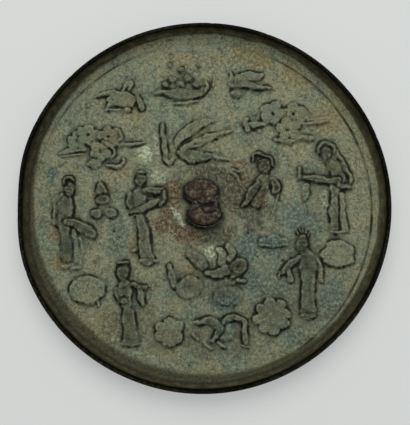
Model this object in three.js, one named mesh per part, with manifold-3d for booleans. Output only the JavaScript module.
// A cast bronze mirror of the many-treasures kind, lying on its polished face
// with the decorated back up: a thin disc, a tall plain rim, a knob of two
// rounded lobes with a cord hole through its waist, and low relief between.
// Millimetres, +Z up. The disc is drawn about its own centre and moved at the
// end, so that the origin is under the middle of its bounding box.
import Module from 'manifold-3d';
import * as THREE from 'three';
import { mergeVertices } from 'three/addons/utils/BufferGeometryUtils.js';

const wasm = await Module();
wasm.setup();

// Disc and rim.
const RADIUS = 62.5;
const FIELD = 2.2;              // thickness of the disc, and height of the field
const RIM_HEIGHT = 7.6;
const LIP_WIDTH = 1.75;         // the lip along the top of the rim
const LIP_ROUND = 0.35;
const FOOT_BEVEL = 0.4;         // bevel round the polished face
const OUTER_DRAFT = 0.25;       // the rim narrows this much towards its lip
const WALL_RUN = 1.3;           // the inner wall leans in this far
const WALL_STEPS = 3;
const GROOVE = { radius: 56.9, width: 0.8, depth: 0.2 };
const TURNS = 80;

// The rim isn't quite round: slightly oval, with one side knocked flat.
const OVAL = 0.2;
const DENT = { angle: Math.PI, depth: 1.2, spread: 0.227 };
const BENT_FROM = 0.84 * RADIUS;
const BENT_FULL = 0.97 * RADIUS;

// Knob: two oval lobes across a narrow waist, and an arched hole along X.
const KNOB_TOP = 8.6;
const WAIST_TOP = 8;
const KNOB_SIDES = 24;
const KNOB_PARTS = [
  { at: [-0.6, 4.65], half: [5.7, 3.8], top: KNOB_TOP },
  { at: [0.6, -3.35], half: [5.8, 3.7], top: KNOB_TOP },
  { at: [0.5, 0.65], half: [4.3, 3.4], top: WAIST_TOP },
];
const CORD_HOLE = { y: 0.65, width: 4.5, top: 6.75, corner: 1, length: 16 };
const KNOB_SKIN = [[0, 0], [0.55, 0.2], [0.84, 0.8], [0.97, 1.8], [1, 3.4], [0.94, 6]];

// Relief: how high each kind stands on the field, and how it is drawn.
const BODY = 1.2;
const HEAD = 1.5;
const FINE = 0.9;
const ROOT = 0.6;               // how far a raised shape is let into the disc
const SLOPE = 0.55;             // share of a shape's half-width taken by its bevel
const RIBBON_STEP = 3;
const DOME_SIDES = 10;
const LARGE_DOME = 1.9;         // domes at least this wide get more rings

// A closed triangle mesh as a solid, with its shared corners joined.
function solid(geometry) {
  const bare = new THREE.BufferGeometry();
  bare.setAttribute('position', geometry.getAttribute('position').clone());
  bare.setIndex(geometry.index);
  const joined = mergeVertices(bare, 1e-4);
  const corners = joined.index.array;
  const kept = [];
  for (let i = 0; i < corners.length; i += 3) {
    const [a, b, c] = corners.slice(i, i + 3);
    if (a !== b && b !== c && c !== a) kept.push(a, b, c);
  }
  return new wasm.Manifold(new wasm.Mesh({
    numProp: 3,
    vertProperties: new Float32Array(joined.getAttribute('position').array),
    triVerts: new Uint32Array(kept),
  }));
}

function smoothstep(from, to, value) {
  const t = THREE.MathUtils.clamp((value - from) / (to - from), 0, 1);
  return t * t * (3 - 2 * t);
}

// How far the outer part of the disc stands out (or in) at one angle.
function outOfRound(angle) {
  const away = Math.atan2(Math.sin(angle - DENT.angle), Math.cos(angle - DENT.angle));
  const dent = DENT.depth * Math.exp(-((away / DENT.spread) ** 2));
  return OVAL * Math.cos(2 * angle) - dent;
}

function bend(geometry) {
  const places = geometry.getAttribute('position');
  for (let i = 0; i < places.count; i += 1) {
    const x = places.getX(i);
    const y = places.getY(i);
    const radius = Math.hypot(x, y);
    const share = smoothstep(BENT_FROM, BENT_FULL, radius);
    const scale = 1 + (share * outOfRound(Math.atan2(y, x))) / Math.max(radius, 1);
    places.setXY(i, x * scale, y * scale);
  }
  return geometry;
}

// Disc and rim as one turned shape, from the middle of the polished face
// round the outside, over the lip, down the inner wall and across the field.
function turnedDisc() {
  const lipOut = RADIUS - OUTER_DRAFT;
  const lipIn = lipOut - LIP_WIDTH;
  const wallFoot = lipIn - WALL_RUN;
  const profile = [
    [0, 0], [RADIUS - FOOT_BEVEL, 0], [RADIUS, FOOT_BEVEL],
    [lipOut, RIM_HEIGHT - LIP_ROUND], [lipOut - LIP_ROUND, RIM_HEIGHT],
    [lipIn + LIP_ROUND, RIM_HEIGHT], [lipIn, RIM_HEIGHT - LIP_ROUND],
  ];
  for (let step = 1; step <= WALL_STEPS; step += 1) {
    const t = step / WALL_STEPS;
    const fall = RIM_HEIGHT - LIP_ROUND - FIELD;
    profile.push([lipIn - WALL_RUN * t ** 2, FIELD + fall * (1 - t) ** 1.4]);
  }
  const half = GROOVE.width / 2;
  const outside = Math.min(GROOVE.radius + half, wallFoot - 0.1);
  profile.push([outside, FIELD], [GROOVE.radius, FIELD - GROOVE.depth], [GROOVE.radius - half, FIELD]);
  profile.push([0, FIELD]);
  const points = profile.map(([r, z]) => new THREE.Vector2(r, z));
  return bend(new THREE.LatheGeometry(points, TURNS).rotateX(Math.PI / 2));
}

// One lobe of the knob: round-shouldered and steep-sided, on an oval plan.
function knobPart({ at: [x, y], half: [halfX, halfY], top }) {
  const skin = KNOB_SKIN.map(([r, drop]) => new THREE.Vector2(r, -drop)).reverse();
  const profile = [new THREE.Vector2(0, skin[0].y), ...skin];
  const shape = new THREE.LatheGeometry(profile, KNOB_SIDES).rotateX(Math.PI / 2);
  const depth = (top - FIELD + ROOT) / KNOB_SKIN.at(-1)[1];
  return solid(shape.scale(halfX, halfY, depth).translate(x, y, top));
}

// An arch, flat at the field and round-shouldered above, through the waist.
function cordHole() {
  const half = CORD_HOLE.width / 2;
  const { corner, top, length, y } = CORD_HOLE;
  const arch = new THREE.Shape();
  arch.moveTo(-half, FIELD - 0.1);
  arch.lineTo(half, FIELD - 0.1);
  arch.absarc(half - corner, top - corner, corner, 0, Math.PI / 2, false);
  arch.absarc(corner - half, top - corner, corner, Math.PI / 2, Math.PI, false);
  const bar = new THREE.ExtrudeGeometry(arch, {
    depth: length, bevelEnabled: false, curveSegments: 3,
  });
  bar.rotateZ(Math.PI / 2).rotateY(Math.PI / 2);
  return solid(bar.translate(-length / 2, y, 0));
}

// A flat outline raised off the field, with a sloping edge all round.
function raised(outline, height, slope) {
  const geometry = new THREE.ExtrudeGeometry(new THREE.Shape(outline), {
    depth: ROOT,
    bevelThickness: height,
    bevelSize: slope,
    bevelOffset: -slope,
    bevelSegments: 1,
  });
  return solid(geometry.translate(0, 0, FIELD - ROOT));
}

// A limb, fold or stem: [x, y, half-width] along its middle, with round ends.
function ribbon(route, height = BODY) {
  const curve = new THREE.CatmullRomCurve3(route.map((p) => new THREE.Vector3(...p)));
  const steps = Math.max(2, Math.round(curve.getLength() / RIBBON_STEP));
  const left = [];
  const right = [];
  for (let step = 0; step <= steps; step += 1) {
    const at = curve.getPoint(step / steps);
    const way = curve.getTangent(step / steps);
    const side = new THREE.Vector2(-way.y, way.x).setLength(at.z);
    left.push(new THREE.Vector2(at.x, at.y).add(side));
    right.push(new THREE.Vector2(at.x, at.y).sub(side));
  }
  const outline = [...roundEnd(curve, 0), ...right, ...roundEnd(curve, 1), ...left.reverse()];
  const slimmest = Math.min(...route.map((p) => p[2]));
  return raised(outline, height, slimmest * SLOPE);
}

// The two points that round off a ribbon at its start (0) or its end (1).
function roundEnd(curve, end) {
  const at = curve.getPoint(end);
  const way = curve.getTangent(end).setZ(0).normalize().multiplyScalar(end ? 1 : -1);
  const facing = Math.atan2(way.y, way.x);
  return [-0.6, 0.6].map((turn) => new THREE.Vector2(
    at.x + at.z * Math.cos(facing + turn),
    at.y + at.z * Math.sin(facing + turn),
  ));
}

// A rounded boss on an oval plan, such as a head, a fruit or a petal.
function dome([x, y, halfX, halfY = halfX], height = BODY) {
  const rings = halfX < LARGE_DOME ? 4 : 6;
  const ball = new THREE.SphereGeometry(1, DOME_SIDES, rings).rotateX(Math.PI / 2);
  return solid(ball.scale(halfX, halfY, height).translate(x, y, FIELD));
}

// A flat flower or coin with a scalloped edge.
function rosette([x, y, halfX, halfY = halfX], lobes, cut, height = BODY, pointsPerLobe = 4) {
  const count = lobes * pointsPerLobe;
  const outline = [];
  for (let i = 0; i < count; i += 1) {
    const angle = (i / count) * 2 * Math.PI;
    const reach = 1 - cut * (1 - Math.abs(Math.cos((lobes * angle) / 2)));
    const offset = new THREE.Vector2(halfX * Math.cos(angle), halfY * Math.sin(angle));
    outline.push(offset.multiplyScalar(reach).add(new THREE.Vector2(x, y)));
  }
  return raised(outline, height, 0.5);
}

function blossoms(centres, radius) {
  return centres.flatMap(([x, y]) => [
    rosette([x, y, radius], 5, 0.3, FINE),
  ]);
}

// A standing robed figure: its head, the robe down to the hem, then its
// sleeves, arms and what it carries.
function figure(head, robe, limbs) {
  return [dome(head, HEAD), ribbon(robe), ...limbs.map((limb) => ribbon(limb, FINE + 0.1))];
}

function farLeftFigure() {
  return figure([-44.8, 5.6, 2.1, 3],
    [[-45.2, 3.2, 1.3], [-46.2, 0, 3.1], [-46.4, -5, 2.8], [-45.6, -11, 2], [-45.2, -18.6, 1.9]],
    [
      [[-47, 4, 0.6], [-49.6, 1.6, 0.9], [-49.6, -1.4, 0.8], [-49.4, -6.8, 0.6]],
      [[-42.9, -8.6, 0.9], [-42, -14.2, 1.2], [-42, -18.8, 1.1]],
      [[-45.4, -5.7, 1.4], [-42.5, -6.4, 1.7], [-39.1, -8.4, 1.9], [-36.8, -9.9, 1.5]],
      [[-46.4, -20.7, 0.7], [-41, -20.9, 0.7]],
    ]);
}

function nearLeftFigure() {
  return figure([-21.2, 9, 2, 2.9],
    [
      [-21.2, 5.6, 1.2], [-21.6, 3, 2.6], [-21.4, -2, 2.3],
      [-20.2, -8, 1.8], [-19.6, -12.6, 2.1], [-18.4, -18, 2.7],
    ],
    [
      [[-24.4, 4.2, 0.9], [-24.3, 0.9, 1.1], [-23.8, -1.8, 1]],
      [[-20.6, 4.9, 0.9], [-17.3, 5.2, 1.1], [-13.6, 4.8, 0.9]],
      [[-23.2, -2.2, 0.8], [-19.6, -0.8, 1.4], [-15.6, 1.3, 1.2], [-13.6, 1.2, 0.8]],
      [[-20.8, -19.2, 0.7], [-15.2, -19.2, 0.7]],
    ]);
}

function nearRightFigure() {
  return figure([20.8, 13.4, 2.5, 3],
    [[20.8, 10, 1.6], [19.7, 7, 2.6], [18.8, 3.2, 2.5], [20, -1.4, 2.2], [21.4, -5.6, 2.8]],
    [
      [[17, 14.8, 0.5], [16.9, 17.2, 0.6], [18.7, 18.2, 0.6], [22.6, 16.2, 0.6], [23.8, 13.2, 0.5]],
      [[10.2, 12.4, 0.6], [11.5, 10, 0.7], [12.5, 7.9, 0.6], [14.6, 4.8, 0.5]],
      [[23.5, 8.7, 1.2], [24.4, 6.6, 1.6], [23.8, 4.6, 1.1]],
      [[18.8, 7.6, 1], [16.4, 4.4, 1.5], [15, 1.6, 1.3], [13.4, -0.2, 0.8]],
    ]);
}

// Three rounded hills on one flat foot.
function mound() {
  return [
    dome([20.6, -12.2, 1.9, 1.6], FINE),
    dome([23.4, -11.7, 2, 2], FINE),
    dome([26.3, -12.3, 1.9, 1.5], FINE),
    ribbon([[19.2, -13.4, 0.5], [23.4, -13.6, 0.6], [27.8, -13.2, 0.5]], FINE),
  ];
}

function farRightFigure() {
  return figure([41.8, 18.2, 2.6, 3.3],
    [[43.6, 14.2, 1.5], [45.4, 11.6, 2.6], [44.8, 6, 2.3], [44, -2, 1.8], [43.9, -7.9, 2]],
    [
      [[44.8, 19.2, 0.5], [46.8, 15.8, 0.9], [49, 11.4, 1], [50.2, 8, 0.8]],
      [[33.4, 9.7, 0.9], [36.6, 9.4, 1.2], [41.2, 8.6, 1.2], [45.4, 8.4, 1.2]],
      [[32.7, 12.9, 0.7], [32.6, 9.7, 0.9]],
      [[34.4, 6.4, 1.4], [34.4, 4.3, 1.6], [34.1, 1.6, 0.6]],
      [[45.6, 7.4, 0.9], [48.2, 6.8, 1], [50.2, 6.1, 0.6]],
      [[46.8, 4.4, 0.8], [46.9, -1.4, 1.1], [47.4, -8, 1.2]],
    ]);
}

function crownedFigure() {
  return figure([33.1, -12.4, 2.1, 3.1],
    [[34, -15.8, 1.6], [34.9, -19, 2.8], [35, -24, 2.4], [34.6, -30.4, 2.4], [34.6, -35.8, 2.7]],
    [
      [[31.3, -9.4, 0.5], [33.4, -7.8, 0.8], [35.4, -9.6, 0.5]],
      [[31.8, -17.4, 0.9], [28.7, -20.6, 1.4], [26, -22.8, 0.9]],
      [[28.8, -22.4, 1], [28.8, -25.4, 1.1]],
      [[37.7, -17.5, 0.8], [39, -20.6, 1.1], [38.9, -25.2, 0.9]],
    ]);
}

function lowerLeftFigure() {
  return [
    ...figure([-26.3, -22.2, 2.2, 3.1],
      [[-26, -26.2, 1.6], [-25.9, -28.6, 2.6], [-25.2, -34, 1.9], [-24.2, -38, 2.4], [-23.3, -44.6, 3.1]],
      [
        [[-23.4, -26.8, 0.9], [-20.6, -27.6, 1], [-18.2, -27.6, 0.8]],
        [[-20.9, -28.2, 1.2], [-20, -30.6, 1.2], [-19.6, -33.8, 0.6]],
        [[-28.6, -27.6, 0.7], [-28.5, -30.4, 0.7], [-27.8, -32.4, 0.7]],
      ]),
    dome([-26, -32.2, 2, 1.5], HEAD),
  ];
}

function smallBirdLeft() {
  return [
    dome([-21.2, 34.4, 1.8], FINE),
    ribbon([[-21.2, 37.4, 1.4], [-25.4, 36.8, 2.1], [-29.6, 35.4, 1.7], [-33.4, 33, 0.6]]),
    ribbon([[-25, 38.8, 1.1], [-30.8, 39, 1.3], [-37.4, 37.4, 0.6]], FINE),
    ribbon([[-26.2, 39.6, 1.4], [-26.4, 43.2, 1.6]], FINE),
    ribbon([[-19.9, 36, 0.7], [-19.9, 38.8, 0.8]], FINE),
  ];
}

function smallBirdRight() {
  return [
    dome([11.4, 38.7, 2.5, 2.3]),
    ribbon([[8.9, 43.2, 1.5], [12.6, 43.2, 2.4], [17, 42.8, 2], [20.6, 41.7, 1.2], [24, 40.6, 0.6]]),
    ribbon([[12.6, 45, 1.2], [15.4, 47, 1.3], [20.4, 46.8, 0.7]], FINE),
    ribbon([[9.7, 44.8, 1], [8.4, 48, 0.6]], FINE),
  ];
}

// A footed basket heaped with fruit.
function basket() {
  const fruit = [[-9.9, 45.1, 1.4], [-5.1, 45.5, 1.7], [-7.5, 48.3, 1.2], [-1.7, 48.6, 0.9], [-11.3, 49.2, 0.8]];
  return [
    ...fruit.map((place) => dome(place, FINE)),
    ribbon([[-13.4, 40.6, 1.2], [-9.6, 39.8, 2.4], [-6.4, 39.5, 2.6], [-3.2, 39.8, 2.4], [0.6, 40.6, 1.2]]),
    ribbon([[-10.7, 35.7, 0.6], [-1, 36.1, 0.6]], FINE),
    ribbon([[-14.8, 40.3, 0.6], [-18, 39.5, 0.5]], FINE),
    ribbon([[4.7, 46, 0.5], [3.6, 43.7, 0.5], [3.5, 41.4, 0.5]], FINE),
  ];
}

function blossomSprayRight() {
  return [
    ...blossoms([[24, 32.6], [31.1, 31.9], [28.7, 26.4]], 4.2),
    ribbon([[13.8, 28.2, 0.7], [18, 28.9, 1.2], [22.8, 27.5, 0.9]], FINE),
    ribbon([[34.2, 28.9, 0.8], [42.6, 29.4, 0.8]], FINE),
    ribbon([[24.6, 22.4, 0.8], [28.8, 23.5, 1.2], [33.2, 22.2, 1.2], [37.6, 23.3, 0.9]], FINE),
    dome([19.4, 25.5, 1], FINE),
    dome([16.4, 32.2, 0.8], FINE),
  ];
}

function blossomSprayLeft() {
  return [
    ...blossoms([[-39.1, 24.5], [-33.5, 25.5], [-33.9, 18.1]], 4.2),
    ribbon([[-29.6, 26.4, 0.7], [-27.8, 26.8, 0.7], [-26.8, 25, 0.7], [-27.8, 23, 0.7]], FINE),
    ribbon([[-48.6, 17.8, 0.7], [-45.2, 18.9, 1.4], [-41.8, 19.2, 0.9]], FINE),
    ribbon([[-28.4, 20.6, 0.8], [-19.4, 21.6, 0.8]], FINE),
    ribbon([[-30.6, 16.6, 0.7], [-26.8, 16.7, 0.8], [-25.1, 15.1, 0.7], [-26, 13.6, 0.6]], FINE),
    dome([-35.5, 14.2, 2.6, 2.2], FINE),
    dome([-30.7, 12.6, 1.3], FINE),
    dome([-43.3, 16, 0.9], FINE),
  ];
}

// A crane in flight above the knob.
function crane() {
  return [
    ribbon([[-13.9, 28.6, 0.8], [-12.9, 23.8, 1], [-11.6, 18.8, 1.4], [-10.8, 16.2, 1.5]]),
    ribbon([[-10.2, 15.6, 1], [-8.6, 16.4, 0.9]], FINE),
    ribbon([[-8.4, 17, 1.2], [-5.2, 18.2, 2.3], [-1.4, 18.6, 2.8], [2.6, 17.6, 1.7]]),
    ribbon([[-7.8, 22, 1.1], [-6, 25.2, 1.5], [-1.6, 28, 1.6], [4.6, 29.2, 0.7]], FINE),
    ribbon([[-4.2, 21.2, 1.3], [1.6, 22.6, 1.7], [6.6, 24.6, 1.1], [10.2, 26, 0.6]], FINE),
    ribbon([[0.4, 17.6, 1.3], [4.2, 17.3, 1], [8.2, 16.6, 0.6]], FINE),
  ];
}

// A second crane below the knob, turned the other way.
function lowerCrane() {
  return [
    ribbon([[-5, -15.4, 1.2], [-2.2, -18, 2.1], [1.2, -21.2, 1.3]]),
    ribbon([[-11.1, -20.6, 0.9], [-10.5, -23.4, 1.3], [-9.4, -26.8, 1.4]]),
    dome([-4.4, -27.6, 4.2, 4], FINE),
    ribbon([[4.6, -14.6, 1], [6.4, -16.4, 1.7], [6.6, -19.4, 1.6]], FINE),
    ribbon([[8.4, -13.8, 1.2], [9.6, -16, 1.5], [9, -18.6, 1]], FINE),
    ribbon([[1.6, -23, 1.2], [4.8, -23.2, 1.7], [8.2, -21.6, 1.8]]),
    dome([12, -20.6, 3.2, 2.8]),
    dome([8.4, -30.4, 5.2, 3.5], FINE),
  ];
}

// A gourd-shaped jewel above two smaller ones.
function jewels() {
  return [
    dome([-34.3, 6, 1.9, 2.1], FINE),
    dome([-33.7, 2.2, 2.3, 1.9], FINE),
    dome([-36.1, -2.2, 1.8, 2], FINE),
    dome([-31.1, -2.2, 2, 1.9], FINE),
  ];
}

function coins() {
  return [
    rosette([-38.3, -28.4, 6, 4.7], 4, 0.12, FINE, 6),
    rosette([45, -16.3, 5.8, 5], 7, 0.12, FINE),
    rosette([-11.1, -42.4, 5.4], 6, 0.2, FINE),
    rosette([22.8, -37.2, 6.7], 8, 0.2, FINE),
  ];
}

// A pair of horns lying crossed.
function horns() {
  return [
    ribbon([[-1.4, -38.9, 0.9], [2.4, -38.7, 1.4], [4.6, -41.6, 1.7], [1.6, -45.4, 1.1]], FINE),
    ribbon([[7, -39.2, 0.9], [10.6, -38, 1.5], [12.8, -41.2, 1.7], [14, -45.8, 1.1]], FINE),
    dome([8, -42.4, 3, 2.8], FINE),
  ];
}

const relief = [
  ...farLeftFigure(), ...nearLeftFigure(), ...nearRightFigure(), ...farRightFigure(),
  ...crownedFigure(), ...lowerLeftFigure(),
  ...smallBirdLeft(), ...basket(), ...smallBirdRight(),
  ...blossomSprayLeft(), ...blossomSprayRight(), ...crane(), ...lowerCrane(),
  ...jewels(), ...coins(), ...mound(), ...horns(),
];

// One casting: disc, rim, relief and knob in one solid, bored for the cord.
function casting() {
  const parts = [solid(turnedDisc()), ...relief, ...KNOB_PARTS.map(knobPart)];
  const mesh = wasm.Manifold.union(parts).subtract(cordHole()).getMesh();
  const geometry = new THREE.BufferGeometry();
  geometry.setAttribute('position', new THREE.BufferAttribute(mesh.vertProperties, 3));
  geometry.setIndex(new THREE.BufferAttribute(mesh.triVerts, 1));
  geometry.computeBoundingBox();
  const middle = geometry.boundingBox.getCenter(new THREE.Vector3());
  geometry.translate(-middle.x, -middle.y, 0);
  geometry.computeVertexNormals();
  return geometry;
}

const bronze = new THREE.MeshStandardMaterial({
  color: 0x767866,
  roughness: 0.8,
  metalness: 0.35,
});

const mirror = new THREE.Mesh(casting(), bronze);
mirror.name = 'bronze_mirror';

const part = new THREE.Group();
part.add(mirror);

export default part;
